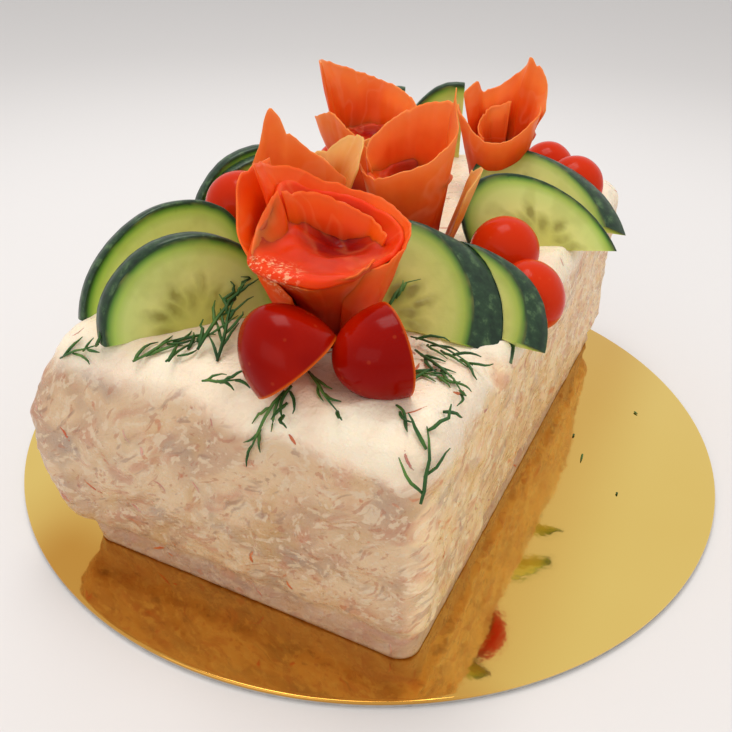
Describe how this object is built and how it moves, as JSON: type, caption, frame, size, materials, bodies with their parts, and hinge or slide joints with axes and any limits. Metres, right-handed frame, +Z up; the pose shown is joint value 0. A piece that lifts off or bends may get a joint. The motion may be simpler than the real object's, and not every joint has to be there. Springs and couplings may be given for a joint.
{
  "type": "sandwich cake",
  "caption": "Block-shaped sandwich cake coated in salmon cream on a round gold card, topped with salmon roses, cucumber slices, halved cherry tomatoes and dill.",
  "frame": {"origin": "centre of the gold card's underside, where the cake stands", "axes": "+Z up; the loaf's long side runs along Y and its short front face looks towards -Y"},
  "size_m": [0.26, 0.26, 0.132],
  "materials": {
    "gold_foil": "metallic gold foil on card, glossy and lightly creased",
    "cream": "moist hand-spread salmon cream with shreds of salmon and dill on top",
    "salmon": "moist cold-smoked salmon",
    "cucumber": "moist cucumber flesh with a dark green skin",
    "tomato": "glossy tomato skin"
  },
  "bodies": {
    "root": {"gold_card": "gold_foil", "cream_loaf": "cream", "rose_front": "salmon", "rose_left": "salmon", "rose_middle": "salmon", "rose_back_left": "salmon", "rose_back_right": "salmon", "cucumber_left_outer": "cucumber", "cucumber_left_inner": "cucumber", "cucumber_right_inner": "cucumber", "cucumber_right_outer": "cucumber", "cucumber_back_lower": "cucumber", "cucumber_back_upper": "cucumber", "cucumber_side_lower": "cucumber", "cucumber_side_upper": "cucumber", "cucumber_far_left": "cucumber", "cucumber_far_right": "cucumber", "tomato_front_left": "tomato", "tomato_front_right": "tomato", "tomato_right_upper": "tomato", "tomato_right_lower": "tomato", "tomato_back_front": "tomato", "tomato_back_rear": "tomato", "tomato_left_front": "tomato", "tomato_left_rear": "tomato"}
  },
  "joints": []
}
